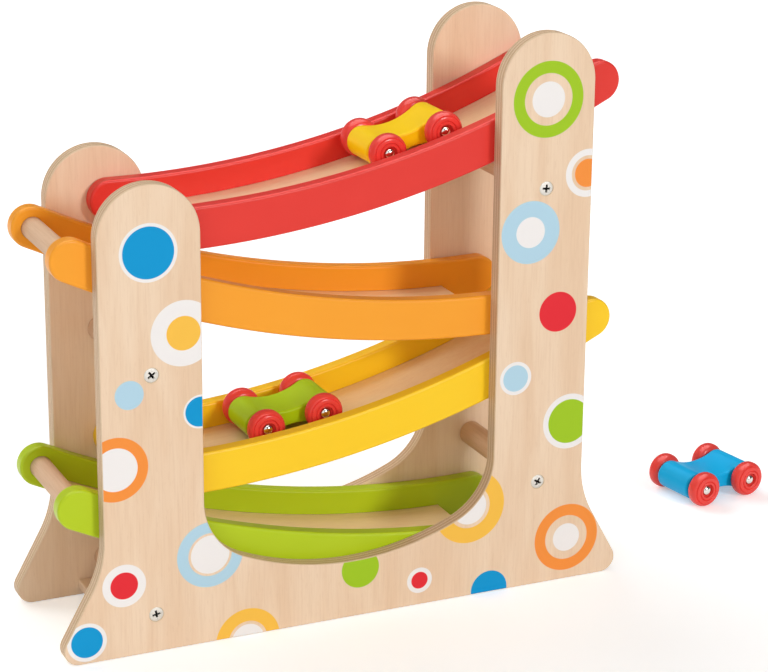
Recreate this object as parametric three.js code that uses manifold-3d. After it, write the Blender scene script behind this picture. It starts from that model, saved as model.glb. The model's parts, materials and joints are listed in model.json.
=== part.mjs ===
// Wooden racing track: two plywood side panels carry four curved ramps, one above the other,
// and small cars roll down from ramp to ramp and out between the feet at the right.
// Millimetres, +Z up. The origin is the middle of the front panel's resting edge.
// +X runs along the panels towards the tall uprights, +Y from the front panel to the back one.

import * as THREE from 'three';
import { mergeVertices } from 'three/addons/utils/BufferGeometryUtils.js';
import Module from 'manifold-3d';

const wasm = await Module();
wasm.setup();

// Side panels
const PLY_THICKNESS = 9;
const UPRIGHT_WIDTH = 56.2;
const WINDOW_WIDTH = 172;
const WINDOW_SILL_HEIGHT = 33.5;
const WINDOW_SILL_RADIUS = 155;
const WINDOW_CORNER_RADIUS = 38;
const SHORT_UPRIGHT_RISE = 29.15; // round top above the top ramp's lowest point
const TALL_UPRIGHT_RISE = 48.35; // round top above the top ramp where it crosses the upright
const FOOT_FLARE = 23.5; // how far each toe stands out past its upright
const FOOT_SLOPE = THREE.MathUtils.degToRad(29); // lean of the foot's straight stretch
const FOOT_CURVE_RADIUS = 60;
const TOE_RADIUS = 8.5;

// Ramps
const RAIL_RADIUS = 559.2; // curve of a rail's centre line
const RAIL_HEIGHT = 23;
const RAIL_THICKNESS = 9;
const RAIL_LIP = 4.4; // rail left below the floor
const SHORT_TAIL = 11.7; // from the lowest point on to the centre of the low round end
const LONG_TAIL = 18; // the same on the ramps that end at the tall upright
const RAMP_LOW_INSET = 10; // lowest point behind the upright's inner edge
const RAMP_HIGH_OVERHANG = 9.6; // centre of the high round end past the far upright
const RAMP_SHIFT = -0.8; // all ramps sit this far along X from the panels' middle
const RAMP_CLEARANCE = 2.26; // longer low end above the next ramp's rails
const BOTTOM_RAMP_LIFT = 14.85; // underside of the bottom ramp above the table
const FLOOR_THICKNESS = 4;
const FLOOR_SETBACK = 5.6; // floor stops this far before the lowest point
const GROOVE_DEPTH = 3; // floor let into each rail
const STOP_DIAMETER = 12; // dowel across the high end
const SOCKET_DEPTH = 4; // stop dowel let into each rail

// Crossbars, screws and the strip between the left feet
const CROSSBAR_DIAMETER = 14;
const UPPER_LEFT_CROSSBAR_DROP = 45.9; // below the third ramp, at the short upright
const UPPER_RIGHT_CROSSBAR_DROP = 37.7; // below the top ramp, at the tall upright
const EXIT_CROSSBAR_RISE = 36.4; // above the bottom ramp's lowest point, over the way out
const STRIP_CROSSBAR_GAP = 5; // lower left crossbar above the strip
const STRIP_WIDTH = 25;
const STRIP_THICKNESS = 5.4;
const STRIP_LIFT = 4.4;
const STRIP_INSET = 11.5; // from the upright's outer edge
const SCREW_LENGTH = 30;
const SCREW_SHANK_DIAMETER = 3.6;
const SCREW_HEAD_DIAMETER = 8.2;
const SCREW_HEAD_HEIGHT = 2.2;
const SCREW_POINT = 5;
const SCREW_SINK = 0.3; // head below the panel's face
const RECESS_LENGTH = 4.6;
const RECESS_WIDTH = 1.2;
const RECESS_DEPTH = 1.4;

// Cars
const WHEELBASE = 34.5;
const WHEEL_DIAMETER = 21.5;
const WHEEL_WIDTH = 9;
const TREAD_ROUNDING = 3.8;
const HUB_DIAMETER = 8.4; // recess for the pin's head
const HUB_DEPTH = 2.2;
const CAR_BODY_WIDTH = 28;
const CAR_END_RADIUS = 8.5;
const CAR_END_OVERHANG = 1.5; // end circle past the axle
const CAR_WAIST = 8.8; // body's thickness at its middle
const PIN_DIAMETER = 3;
const PIN_GRIP = 9; // pin in the body
const PIN_HEAD_DIAMETER = 6.4;
const PIN_HEAD_RISE = 1.9;
const YELLOW_CAR_ALONG = 149.3; // along the ramp, from its lowest point
const GREEN_CAR_ALONG = 76.7;
const BLUE_CAR_AHEAD = 113.5; // past the toes
const BLUE_CAR_ASIDE = 38; // from the channel's middle line
const BLUE_CAR_YAW = THREE.MathUtils.degToRad(9);

// Clearances
const GLUE_GAP = 0.2;
const SCREW_PLAY = 0.2;
const PIN_PLAY = 0.2;
const WHEEL_PLAY = 0.3; // wheel on its pin
const WHEEL_GAP = 0.5; // wheel beside the body
const ROLLING_GAP = 0.3; // wheel above the floor
const CHANNEL_ROOM = 12.6; // channel wider than a car
const CAR_RAIL_GAP = 2.1; // car beside the back rail

// Facets
const ARC_STEPS = 8; // half the flats of each arc in an outline
const DOWEL_SIDES = 16;
const SCREW_SIDES = 10;
const PIN_SIDES = 8;
const WHEEL_SIDES = 16;
const ROUNDING_STEPS = 2; // flats of a rounding on a turned piece
const MERGE_DISTANCE = 1e-4;
const CUT_OVERRUN = 1; // a cutter reaches this far past the face it cuts

const FINISHES = {
  birch: { color: 0xebcfb1, roughness: 0.55, metalness: 0 },
  floor: { color: 0xe3b795, roughness: 0.5, metalness: 0 },
  beech: { color: 0xcfa98a, roughness: 0.6, metalness: 0 },
  steel: { color: 0xb9b6b2, roughness: 0.35, metalness: 1 },
  chrome: { color: 0xd8d8d8, roughness: 0.15, metalness: 1 },
  redPaint: { color: 0xe8413a, roughness: 0.35, metalness: 0 },
  orangePaint: { color: 0xf9a72f, roughness: 0.35, metalness: 0 },
  yellowPaint: { color: 0xffd42f, roughness: 0.35, metalness: 0 },
  greenPaint: { color: 0xb9d22c, roughness: 0.35, metalness: 0 },
  bluePaint: { color: 0x0a9bd4, roughness: 0.35, metalness: 0 },
};

// Worked out from the driving dimensions
const carWidth = CAR_BODY_WIDTH + 2 * (WHEEL_GAP + WHEEL_WIDTH);
const channelWidth = carWidth + CHANNEL_ROOM;
const panelGap = channelWidth + 2 * (RAIL_THICKNESS + GLUE_GAP);
const frontInner = PLY_THICKNESS / 2;
const backInner = frontInner + panelGap;
const backPanelY = backInner + PLY_THICKNESS / 2;
const channelFront = frontInner + GLUE_GAP + RAIL_THICKNESS;
const channelBack = channelFront + channelWidth;
const channelMiddle = (channelFront + channelBack) / 2;

const uprightX = (WINDOW_WIDTH + UPRIGHT_WIDTH) / 2;
const outerEdge = WINDOW_WIDTH / 2 + UPRIGHT_WIDTH;
const toeTip = outerEdge + FOOT_FLARE;

const rampOffset = WINDOW_WIDTH / 2 + RAMP_LOW_INSET;
const highAngle = Math.asin((rampOffset + outerEdge + RAMP_HIGH_OVERHANG) / RAIL_RADIUS);
const floorBottom = RAIL_RADIUS + RAIL_HEIGHT / 2 - RAIL_LIP;
const floorTop = floorBottom - FLOOR_THICKNESS;
const floorLowAngle = Math.asin(FLOOR_SETBACK / RAIL_RADIUS);
const floorHighAngle = highAngle - (STOP_DIAMETER / 2 + GLUE_GAP) / floorTop;

// The pitch puts each longer low end just above the rails of the ramp below.
const lowEndReach = 2 * rampOffset + LONG_TAIL;
const rampPitch = Math.sqrt(RAIL_RADIUS ** 2 - LONG_TAIL ** 2)
  - Math.sqrt((RAIL_RADIUS - RAIL_HEIGHT - RAMP_CLEARANCE) ** 2 - lowEndReach ** 2);

// Ramps from the table up. High side +1 has its high end at +X.
const ramps = [
  { name: 'green', highSide: -1, tail: LONG_TAIL, finish: FINISHES.greenPaint },
  { name: 'yellow', highSide: 1, tail: SHORT_TAIL, finish: FINISHES.yellowPaint },
  { name: 'orange', highSide: -1, tail: LONG_TAIL, finish: FINISHES.orangePaint },
  { name: 'red', highSide: 1, tail: SHORT_TAIL, finish: FINISHES.redPaint },
];
ramps.forEach((ramp, level) => {
  ramp.centreX = RAMP_SHIFT - ramp.highSide * rampOffset;
  ramp.centreZ = BOTTOM_RAMP_LIFT + RAIL_HEIGHT / 2 + RAIL_RADIUS + level * rampPitch;
});
const [greenRamp, yellowRamp, orangeRamp, redRamp] = ramps;

function heightAt(ramp, x) {
  return ramp.centreZ - Math.sqrt(RAIL_RADIUS ** 2 - (x - ramp.centreX) ** 2);
}

// One screw from each panel holds an end of each crossbar.
const stripTop = STRIP_LIFT + STRIP_THICKNESS;
const crossbars = [
  { name: 'left_upper', x: -uprightX, z: heightAt(orangeRamp, -uprightX) - UPPER_LEFT_CROSSBAR_DROP },
  { name: 'left_lower', x: -uprightX, z: stripTop + STRIP_CROSSBAR_GAP + CROSSBAR_DIAMETER / 2 },
  { name: 'right_upper', x: uprightX, z: heightAt(redRamp, uprightX) - UPPER_RIGHT_CROSSBAR_DROP },
  { name: 'right_lower', x: uprightX, z: greenRamp.centreZ - RAIL_RADIUS + EXIT_CROSSBAR_RISE },
];

// Shared helpers

function solidFrom(geometry) {
  const bare = new THREE.BufferGeometry();
  bare.setAttribute('position', geometry.getAttribute('position'));
  bare.setIndex(geometry.index);
  const merged = mergeVertices(bare, MERGE_DISTANCE);
  const corners = merged.index.array;
  const triangles = [];
  for (let i = 0; i < corners.length; i += 3) {
    const [a, b, c] = corners.slice(i, i + 3);
    if (a !== b && b !== c && c !== a) triangles.push(a, b, c);
  }
  return new wasm.Manifold(new wasm.Mesh({
    numProp: 3,
    vertProperties: new Float32Array(merged.getAttribute('position').array),
    triVerts: new Uint32Array(triangles),
  }));
}

function geometryFrom(solid) {
  const mesh = solid.getMesh();
  const geometry = new THREE.BufferGeometry();
  geometry.setAttribute('position', new THREE.BufferAttribute(mesh.vertProperties, 3));
  geometry.setIndex(new THREE.BufferAttribute(mesh.triVerts, 1));
  geometry.computeVertexNormals();
  return geometry;
}

function cutAll(geometry, cutters) {
  return geometryFrom(cutters.reduce((left, cutter) => left.subtract(solidFrom(cutter)), solidFrom(geometry)));
}

// An outline drawn in X and Z, made solid from one Y to another.
function slab(outline, fromY, toY) {
  const options = { depth: toY - fromY, bevelEnabled: false, curveSegments: ARC_STEPS };
  return new THREE.ExtrudeGeometry(outline, options).rotateX(Math.PI / 2).translate(0, toY, 0);
}

function dowel(radius, length) {
  return new THREE.CylinderGeometry(radius, radius, length, DOWEL_SIDES);
}

function turned(profile, sides) {
  return new THREE.LatheGeometry(profile.map(([radius, along]) => new THREE.Vector2(radius, along)), sides);
}

function piece(name, geometry, finish) {
  const mesh = new THREE.Mesh(geometry, new THREE.MeshStandardMaterial(finish));
  mesh.name = name;
  return mesh;
}

// Screws: countersunk, with the head's top at the origin and outwards along +Y.

function screwForm(play, aboveHead) {
  const shank = SCREW_SHANK_DIAMETER / 2 + play;
  const head = SCREW_HEAD_DIAMETER / 2 + play;
  const point = -SCREW_LENGTH - play;
  const profile = [[0, point], [shank, point + SCREW_POINT], [shank, -SCREW_HEAD_HEIGHT], [head, 0]];
  if (aboveHead > 0) profile.push([head, aboveHead]);
  profile.push([0, aboveHead]);
  return turned(profile, SCREW_SIDES);
}

function screwGeometry() {
  const reach = RECESS_DEPTH + CUT_OVERRUN;
  const middle = CUT_OVERRUN - reach / 2;
  const slots = [[RECESS_LENGTH, RECESS_WIDTH], [RECESS_WIDTH, RECESS_LENGTH]];
  return cutAll(screwForm(0, 0), slots.map(([x, z]) => new THREE.BoxGeometry(x, reach, z).translate(0, middle, 0)));
}

// Room for the screw of one crossbar: outward is -1 in the front panel and +1 in the back one.
function screwRoom(bar, outward, headY) {
  const room = screwForm(SCREW_PLAY, SCREW_SINK + CUT_OVERRUN);
  if (outward < 0) room.rotateX(Math.PI);
  return room.translate(bar.x, headY, bar.z);
}

const frontHeadY = -PLY_THICKNESS / 2 + SCREW_SINK;
const backHeadY = backPanelY + PLY_THICKNESS / 2 - SCREW_SINK;

function addCrossbars(parent) {
  const barLength = panelGap - 2 * GLUE_GAP;
  for (const bar of crossbars) {
    const round = dowel(CROSSBAR_DIAMETER / 2, barLength).translate(bar.x, frontInner + panelGap / 2, bar.z);
    const rooms = [screwRoom(bar, -1, frontHeadY), screwRoom(bar, 1, backHeadY)];
    parent.add(piece(`crossbar_${bar.name}`, cutAll(round, rooms), FINISHES.beech));

    const frontScrew = piece(`front_screw_${bar.name}`, screwGeometry(), FINISHES.steel);
    frontScrew.rotation.x = Math.PI;
    frontScrew.position.set(bar.x, frontHeadY, bar.z);
    const backScrew = piece(`back_screw_${bar.name}`, screwGeometry(), FINISHES.steel);
    backScrew.position.set(bar.x, backHeadY, bar.z);
    parent.add(frontScrew, backScrew);
  }
}

// Side panels: two uprights with round tops, a low bridge under a rounded window, and flared feet.

function panelOutline() {
  const half = UPRIGHT_WIDTH / 2;
  const shortTop = redRamp.centreZ - RAIL_RADIUS + SHORT_UPRIGHT_RISE;
  const tallTop = heightAt(redRamp, uprightX) + TALL_UPRIGHT_RISE;

  // The foot runs from the toe up a straight slope and a hollow curve into the upright's edge.
  const toeX = toeTip - TOE_RADIUS;
  const slopeX = toeX + TOE_RADIUS * Math.cos(FOOT_SLOPE);
  const slopeZ = TOE_RADIUS + TOE_RADIUS * Math.sin(FOOT_SLOPE);
  const curveX = outerEdge + FOOT_CURVE_RADIUS;
  const slopeRun = slopeX - curveX + FOOT_CURVE_RADIUS * Math.cos(FOOT_SLOPE);
  const footTop = slopeZ + slopeRun / Math.tan(FOOT_SLOPE) + FOOT_CURVE_RADIUS * Math.sin(FOOT_SLOPE);

  // The window's sill is one wide arc that runs into a tighter arc at each corner.
  const cornerX = WINDOW_WIDTH / 2 - WINDOW_CORNER_RADIUS;
  const sillZ = WINDOW_SILL_HEIGHT + WINDOW_SILL_RADIUS;
  const cornerZ = sillZ - Math.sqrt((WINDOW_SILL_RADIUS - WINDOW_CORNER_RADIUS) ** 2 - cornerX ** 2);
  const join = Math.atan2(cornerZ - sillZ, cornerX);

  const outline = new THREE.Shape();
  outline.absarc(toeX, TOE_RADIUS, TOE_RADIUS, -Math.PI / 2, FOOT_SLOPE, false);
  outline.absarc(curveX, footTop, FOOT_CURVE_RADIUS, Math.PI + FOOT_SLOPE, Math.PI, true);
  outline.absarc(uprightX, tallTop - half, half, 0, Math.PI, false);
  outline.absarc(cornerX, cornerZ, WINDOW_CORNER_RADIUS, 0, join, true);
  outline.absarc(0, sillZ, WINDOW_SILL_RADIUS, join, -Math.PI - join, true);
  outline.absarc(-cornerX, cornerZ, WINDOW_CORNER_RADIUS, -Math.PI - join, -Math.PI, true);
  outline.absarc(-uprightX, shortTop - half, half, 0, Math.PI, false);
  outline.absarc(-curveX, footTop, FOOT_CURVE_RADIUS, 0, -FOOT_SLOPE, true);
  outline.absarc(-toeX, TOE_RADIUS, TOE_RADIUS, Math.PI - FOOT_SLOPE, 1.5 * Math.PI, false);
  outline.closePath();
  return outline;
}

function addPanels(parent) {
  const outline = panelOutline();
  const front = slab(outline, -PLY_THICKNESS / 2, frontInner);
  const frontRooms = crossbars.map((bar) => screwRoom(bar, -1, frontHeadY));
  parent.add(piece('front_panel', cutAll(front, frontRooms), FINISHES.birch));

  const back = slab(outline, backInner, backInner + PLY_THICKNESS);
  const backRooms = crossbars.map((bar) => screwRoom(bar, 1, backHeadY));
  parent.add(piece('back_panel', cutAll(back, backRooms), FINISHES.birch));
}

function addStrip(parent) {
  const length = panelGap - 2 * GLUE_GAP;
  const strip = piece('foot_strip', new THREE.BoxGeometry(STRIP_WIDTH, length, STRIP_THICKNESS), FINISHES.birch);
  const stripX = -outerEdge + STRIP_INSET + STRIP_WIDTH / 2;
  strip.position.set(stripX, frontInner + panelGap / 2, STRIP_LIFT + STRIP_THICKNESS / 2);
  parent.add(strip);
}

// Ramps, each drawn about its own arc's centre. Angles start straight down and grow to the high end.

function outlineAngle(angle, highSide) {
  return highSide * angle - Math.PI / 2;
}

function railOutline(highSide, tail) {
  const low = outlineAngle(-Math.asin(tail / RAIL_RADIUS), highSide);
  const high = outlineAngle(highAngle, highSide);
  const halfTurn = highSide * Math.PI;
  const half = RAIL_HEIGHT / 2;
  const clockwise = highSide < 0;
  const outline = new THREE.Shape();
  const capX = (angle) => RAIL_RADIUS * Math.cos(angle);
  const capZ = (angle) => RAIL_RADIUS * Math.sin(angle);
  outline.absarc(0, 0, RAIL_RADIUS + half, low, high, clockwise);
  outline.absarc(capX(high), capZ(high), half, high, high + halfTurn, clockwise);
  outline.absarc(0, 0, RAIL_RADIUS - half, high, low, !clockwise);
  outline.absarc(capX(low), capZ(low), half, low + halfTurn, low + 2 * halfTurn, clockwise);
  outline.closePath();
  return outline;
}

function floorOutline(highSide, play) {
  const low = outlineAngle(floorLowAngle - play / floorTop, highSide);
  const high = outlineAngle(floorHighAngle + play / floorTop, highSide);
  const clockwise = highSide < 0;
  const outline = new THREE.Shape();
  outline.absarc(0, 0, floorBottom + play, low, high, clockwise);
  outline.absarc(0, 0, floorTop - play, high, low, !clockwise);
  outline.closePath();
  return outline;
}

function stopAcross(highSide, radius, fromY, toY) {
  const x = highSide * RAIL_RADIUS * Math.sin(highAngle);
  const z = -RAIL_RADIUS * Math.cos(highAngle);
  return dowel(radius, toY - fromY).translate(x, (fromY + toY) / 2, z);
}

function addRamp(parent, ramp) {
  const { name, highSide, tail, finish } = ramp;
  const group = new THREE.Group();
  group.position.set(ramp.centreX, 0, ramp.centreZ);

  const groove = slab(
    floorOutline(highSide, GLUE_GAP), channelFront - GROOVE_DEPTH, channelBack + GROOVE_DEPTH);
  const socketRadius = STOP_DIAMETER / 2 + GLUE_GAP;
  const socket = stopAcross(highSide, socketRadius, channelFront - SOCKET_DEPTH, channelBack + SOCKET_DEPTH);
  const rail = railOutline(highSide, tail);
  const frontRail = slab(rail, channelFront - RAIL_THICKNESS, channelFront);
  const backRail = slab(rail, channelBack, channelBack + RAIL_THICKNESS);
  group.add(piece(`${name}_front_rail`, cutAll(frontRail, [groove, socket]), finish));
  group.add(piece(`${name}_back_rail`, cutAll(backRail, [groove, socket]), finish));

  const floorInset = GROOVE_DEPTH - GLUE_GAP;
  const floor = slab(floorOutline(highSide, 0), channelFront - floorInset, channelBack + floorInset);
  group.add(piece(`${name}_floor`, floor, FINISHES.floor));

  const stopInset = SOCKET_DEPTH - GLUE_GAP;
  const stop = stopAcross(highSide, STOP_DIAMETER / 2, channelFront - stopInset, channelBack + stopInset);
  group.add(piece(`${name}_stop`, stop, FINISHES.beech));
  parent.add(group);
}

// Cars, each drawn about the middle between its axles, with the front along +X.

function carOutline() {
  const end = WHEELBASE / 2 + CAR_END_OVERHANG;
  const hollowRadius = (end ** 2 + CAR_WAIST ** 2 / 4 - CAR_END_RADIUS ** 2) / (2 * CAR_END_RADIUS - CAR_WAIST);
  const hollowZ = hollowRadius + CAR_WAIST / 2;
  const endJoin = Math.atan2(hollowZ, -end);
  const hollowJoin = Math.atan2(-hollowZ, end);
  const outline = new THREE.Shape();
  outline.absarc(end, 0, CAR_END_RADIUS, -endJoin, endJoin, false);
  outline.absarc(0, hollowZ, hollowRadius, hollowJoin, -Math.PI - hollowJoin, true);
  outline.absarc(-end, 0, CAR_END_RADIUS, Math.PI - endJoin, Math.PI + endJoin, false);
  outline.absarc(0, -hollowZ, hollowRadius, endJoin, Math.PI - endJoin, true);
  outline.closePath();
  return outline;
}

// A quarter ellipse about a middle point, from one angle to the next, for a turned profile.
function rounding(middleRadius, middleAlong, acrossSize, alongSize, fromAngle) {
  return Array.from({ length: ROUNDING_STEPS + 1 }, (_, step) => {
    const angle = fromAngle + (step / ROUNDING_STEPS) * (Math.PI / 2);
    return [middleRadius + acrossSize * Math.cos(angle), middleAlong + alongSize * Math.sin(angle)];
  });
}

// A wheel's outer face looks along +Y.
function wheelGeometry() {
  const bore = PIN_DIAMETER / 2 + WHEEL_PLAY;
  const half = WHEEL_WIDTH / 2;
  const roundRadius = WHEEL_DIAMETER / 2 - TREAD_ROUNDING;
  const roundAlong = half - TREAD_ROUNDING;
  return turned([
    [bore, -half],
    ...rounding(roundRadius, -roundAlong, TREAD_ROUNDING, TREAD_ROUNDING, -Math.PI / 2),
    ...rounding(roundRadius, roundAlong, TREAD_ROUNDING, TREAD_ROUNDING, 0),
    [HUB_DIAMETER / 2, half],
    [HUB_DIAMETER / 2, half - HUB_DEPTH],
    [bore, half - HUB_DEPTH],
    [bore, -half],
  ], WHEEL_SIDES);
}

// A pin's head sits on the origin and its dome looks along +Y.
const hubFloor = CAR_BODY_WIDTH / 2 + WHEEL_GAP + WHEEL_WIDTH - HUB_DEPTH;
const pinSeat = hubFloor + PIN_PLAY;
const pinLength = pinSeat - CAR_BODY_WIDTH / 2 + PIN_GRIP;

function pinForm(play) {
  const shank = PIN_DIAMETER / 2 + play;
  const dome = rounding(0, 0, PIN_HEAD_DIAMETER / 2, PIN_HEAD_RISE, 0);
  dome[dome.length - 1][0] = 0;
  return turned([[0, -pinLength - play], [shank, -pinLength - play], [shank, 0], ...dome], PIN_SIDES);
}

const axles = [
  { end: 'front', x: WHEELBASE / 2 },
  { end: 'rear', x: -WHEELBASE / 2 },
];
const sides = [
  { hand: 'left', outward: 1 },
  { hand: 'right', outward: -1 },
];

function makeCar(name, finish) {
  const car = new THREE.Group();
  const wheelY = (CAR_BODY_WIDTH + WHEEL_WIDTH) / 2 + WHEEL_GAP;
  const pinRooms = [];
  for (const { end, x } of axles) {
    for (const { hand, outward } of sides) {
      const turn = outward < 0 ? Math.PI : 0;
      const wheel = piece(`${name}_${end}_${hand}_wheel`, wheelGeometry(), FINISHES.redPaint);
      wheel.rotation.z = turn;
      wheel.position.set(x, outward * wheelY, 0);
      const pin = piece(`${name}_${end}_${hand}_pin`, pinForm(0), FINISHES.chrome);
      pin.rotation.z = turn;
      pin.position.set(x, outward * pinSeat, 0);
      car.add(wheel, pin);
      pinRooms.push(pinForm(PIN_PLAY).rotateZ(turn).translate(x, outward * pinSeat, 0));
    }
  }
  const block = slab(carOutline(), -CAR_BODY_WIDTH / 2, CAR_BODY_WIDTH / 2);
  car.add(piece(`${name}_body`, cutAll(block, pinRooms), finish));
  return car;
}

// A car on a ramp faces downhill, both axles at the same distance from the arc's centre.
function addCarOnRamp(parent, ramp, name, finish, along) {
  const axleRadius = floorTop - ROLLING_GAP - WHEEL_DIAMETER / 2;
  const middleRadius = Math.sqrt(axleRadius ** 2 - (WHEELBASE / 2) ** 2);
  const angle = along / axleRadius;
  const tilted = new THREE.Group();
  tilted.rotation.y = -ramp.highSide * angle;
  tilted.position.set(
    ramp.centreX + ramp.highSide * middleRadius * Math.sin(angle),
    channelBack - CAR_RAIL_GAP - carWidth / 2,
    ramp.centreZ - middleRadius * Math.cos(angle));
  const car = makeCar(name, finish);
  car.rotation.z = ramp.highSide > 0 ? Math.PI : 0;
  tilted.add(car);
  parent.add(tilted);
}

function addCarOnTable(parent, name, finish) {
  const car = makeCar(name, finish);
  car.rotation.z = BLUE_CAR_YAW;
  car.position.set(toeTip + BLUE_CAR_AHEAD, channelMiddle + BLUE_CAR_ASIDE, WHEEL_DIAMETER / 2);
  parent.add(car);
}

const track = new THREE.Group();
addPanels(track);
addStrip(track);
addCrossbars(track);
ramps.forEach((ramp) => addRamp(track, ramp));
addCarOnRamp(track, redRamp, 'yellow_car', FINISHES.yellowPaint, YELLOW_CAR_ALONG);
addCarOnRamp(track, yellowRamp, 'green_car', FINISHES.greenPaint, GREEN_CAR_ALONG);
addCarOnTable(track, 'blue_car', FINISHES.bluePaint);

export default track;
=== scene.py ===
# %% [markdown]
# # A wooden racing track
#
# Two plywood panels carry four painted ramps, and small cars with red wheels roll down them.
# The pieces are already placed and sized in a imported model, so this lesson loads that model as a
# fixed frame and gives every piece its softened edges, its turned detail and its finish. All of it
# could be modelled afresh, but then the picture and the moving model would no longer agree.

# %% Load the frame
import json
import math

import bmesh
import bpy
from mathutils import Matrix, Vector
from mathutils.kdtree import KDTree


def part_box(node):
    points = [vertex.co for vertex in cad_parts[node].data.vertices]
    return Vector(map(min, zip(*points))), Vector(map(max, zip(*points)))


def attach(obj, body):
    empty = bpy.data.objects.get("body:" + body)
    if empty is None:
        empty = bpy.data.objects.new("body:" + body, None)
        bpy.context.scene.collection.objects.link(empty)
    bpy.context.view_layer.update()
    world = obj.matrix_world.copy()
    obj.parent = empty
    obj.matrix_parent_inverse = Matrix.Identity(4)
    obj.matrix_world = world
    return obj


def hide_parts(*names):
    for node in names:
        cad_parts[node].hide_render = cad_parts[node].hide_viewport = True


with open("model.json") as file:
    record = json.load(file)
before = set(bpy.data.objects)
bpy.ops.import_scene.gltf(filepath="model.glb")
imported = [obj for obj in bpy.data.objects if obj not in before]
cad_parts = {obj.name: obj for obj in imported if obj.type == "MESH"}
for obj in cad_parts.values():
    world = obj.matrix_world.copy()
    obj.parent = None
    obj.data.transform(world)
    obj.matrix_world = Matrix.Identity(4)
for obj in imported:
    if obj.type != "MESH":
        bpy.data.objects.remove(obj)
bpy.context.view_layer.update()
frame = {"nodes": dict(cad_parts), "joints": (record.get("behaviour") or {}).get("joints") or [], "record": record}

MM = 0.001
nodes = frame["nodes"]
record = frame["record"]
joints = {joint["name"]: joint for joint in frame["joints"]}
bodies = record["behaviour"]["bodies"]
body_of_node = {node: body for body, members in bodies.items() for node in members}

# %% [markdown]
# ## Camera
#
# The picture is taken from the left and a little above, with a long lens from over a metre away, as
# product pictures are: a long lens keeps the upright edges nearly parallel. A camera can be aimed
# with a constraint, but three angles and a place say the same thing in plain numbers.

# %% Camera
CAMERA_PLACE = Vector((-505.1, -1157.1, 582.6)) * MM
CAMERA_AZIMUTH = math.radians(-24.01)
CAMERA_ELEVATION = math.radians(18.11)
CAMERA_ROLL = math.radians(0.43)
CAMERA_LENS = 116.24
CAMERA_SHIFT = (0.02095, -0.01582)

back = Vector((
    math.sin(CAMERA_AZIMUTH) * math.cos(CAMERA_ELEVATION),
    -math.cos(CAMERA_AZIMUTH) * math.cos(CAMERA_ELEVATION),
    math.sin(CAMERA_ELEVATION),
))
right = Vector((math.cos(CAMERA_AZIMUTH), math.sin(CAMERA_AZIMUTH), 0.0))
up = back.cross(right)
aim = Matrix((right, up, back)).transposed().to_4x4()

scene = bpy.context.scene
camera_data = bpy.data.cameras.new("camera")
camera_data.lens = CAMERA_LENS
camera_data.shift_x, camera_data.shift_y = CAMERA_SHIFT
camera = bpy.data.objects.new("camera", camera_data)
scene.collection.objects.link(camera)
camera.matrix_world = Matrix.Translation(CAMERA_PLACE) @ aim @ Matrix.Rotation(CAMERA_ROLL, 4, "Z")
scene.camera = camera
print("camera at", [round(value, 3) for value in CAMERA_PLACE])

# %% [markdown]
# ## Colours and nodes
#
# Colours are noted as sRGB hex values, the way a paint chart or a picture editor gives them. Blender
# works in linear light, so one function converts them. A second small function adds a shader node
# with its settings, and links an input when the value it is given is another node's output.

# %% Helpers for colours and shader nodes
def linear(hex_colour):
    """An sRGB hex colour as linear RGBA."""
    shares = [int(hex_colour[start:start + 2], 16) / 255 for start in (1, 3, 5)]
    light = [share / 12.92 if share <= 0.04045 else ((share + 0.055) / 1.055) ** 2.4 for share in shares]
    return (*light, 1.0)


def add(tree, kind, inputs=None, **settings):
    """Adds a shader node, sets its options, and sets or links its inputs."""
    made = tree.nodes.new(kind)
    for name, value in settings.items():
        setattr(made, name, value)
    for socket, value in (inputs or {}).items():
        if isinstance(value, bpy.types.NodeSocket):
            tree.links.new(value, made.inputs[socket])
        else:
            made.inputs[socket].default_value = value
    return made


def new_material(name):
    """An empty material with its node tree and its main shader."""
    material = bpy.data.materials.new(name)
    material.use_nodes = True
    return material, material.node_tree, material.node_tree.nodes["Principled BSDF"]


print("middle grey in linear light:", [round(value, 3) for value in linear("#808080")])

# %% [markdown]
# ## Lamps
#
# The toy is lit as a small studio would light it. The key light, in front and to the right, gives the
# shadows their direction. A wide fill from the left keeps them open, and a wide light from behind
# reaches into the corners between the ramps. Lamps close by could do that too, but each would leave
# a bright patch on the paper, where a sun lights all of it alike. A sun's width sets how soft its
# shadows are. The back light stays out of reflections, so it lays no veil over the painted tops.

# %% Lamps
SUNS = {
    # strength, width in degrees and the direction it comes from
    "key_light": (1.22, 12, Vector((0.30, -0.89, 0.34))),
    "fill_light": (0.76, 60, Vector((-0.60, -0.75, 0.28))),
    "back_light": (1.9, 60, Vector((-0.40, 0.76, 0.52))),
}

scene.view_settings.view_transform = "Standard"
for name, (strength, width, source) in SUNS.items():
    sun_data = bpy.data.lights.new(name, "SUN")
    sun_data.energy = strength
    sun_data.angle = math.radians(width)
    sun = bpy.data.objects.new(name, sun_data)
    sun.rotation_euler = source.to_track_quat("Z", "Y").to_euler()
    sun.visible_glossy = name != "back_light"
    scene.collection.objects.link(sun)
print("lamps:", list(SUNS))

# %% [markdown]
# ## Sky and reflections
#
# A pale sky lights what the lamps don't reach, and is a little brighter overhead than at the horizon.
# Reflections could see the same sky, but an even white one takes the depth out of the paint. So they
# see a darker room with a bright panel overhead, and that draws a thin bright line along every
# rounded edge.

# %% Sky and reflections
SKY_STRENGTH = 0.35
# colour low down, colour high up, and the heights between which it changes
SKY = ("#BFC1C4", "#FFFFFF", (-0.1, 0.8))
ROOM = ("#232425", "#FFFFFF", (0.72, 0.88))
ROOM_GAIN = 19.0

world = bpy.data.worlds.new("studio")
world.use_nodes = True
scene.world = world
sky = world.node_tree
direction = add(sky, "ShaderNodeTexCoord").outputs["Generated"]
height = add(sky, "ShaderNodeSeparateXYZ", {"Vector": direction}).outputs["Z"]


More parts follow.
